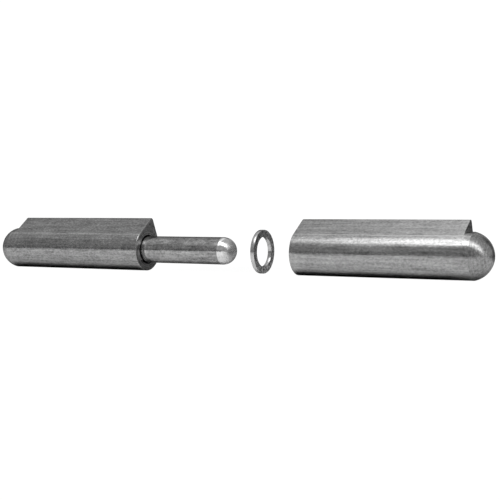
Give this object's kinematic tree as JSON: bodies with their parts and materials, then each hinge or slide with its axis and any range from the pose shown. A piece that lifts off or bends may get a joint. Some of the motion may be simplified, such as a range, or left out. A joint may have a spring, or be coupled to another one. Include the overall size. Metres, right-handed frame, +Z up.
{
  "type": "lift off hinge",
  "caption": "Weld-on teardrop-bar hinge taken apart along its axis: a half with a standing pin, a loose thrust washer and a matching bored half that lifts off.",
  "frame": {"origin": "on the hinge axis, at the centre of the pin half's bearing face", "axes": "+X along the hinge axis from the pin half to the socket half, +Z up with the noses of both halves uppermost and leaning back towards +Y"},
  "size_m": [0.2021, 0.016, 0.0198],
  "materials": {
    "drawn_steel": "bare drawn bar with faint lengthwise lines, turned dull at the domed end",
    "pin_steel": "dull ground bar with a polished round nose",
    "washer_steel": "turned bright rim, dull faces"
  },
  "bodies": {
    "pin_half": {"pin_knuckle": "drawn_steel"},
    "pin": {"hinge_pin": "pin_steel"},
    "washer": {"thrust_washer": "washer_steel"},
    "socket_half": {"socket_knuckle": "drawn_steel"}
  },
  "joints": [
    {"name": "swing", "type": "hinge", "parent": "pin_half", "child": "pin", "pos_m": [0, 0, 0], "axis": [1, 0, 0], "continuous": true},
    {"name": "lift_off", "type": "slide", "parent": "pin", "child": "socket_half", "axis": [1, 0, 0], "range_m": [-0.0619, 0]},
    {"name": "washer_slide", "type": "slide", "parent": "pin", "child": "washer", "axis": [1, 0, 0], "range_m": [-0.0483, 0]}
  ],
  "couplings": [
    {"joint": "washer_slide", "follows": "lift_off", "ratio": 0.78029}
  ]
}
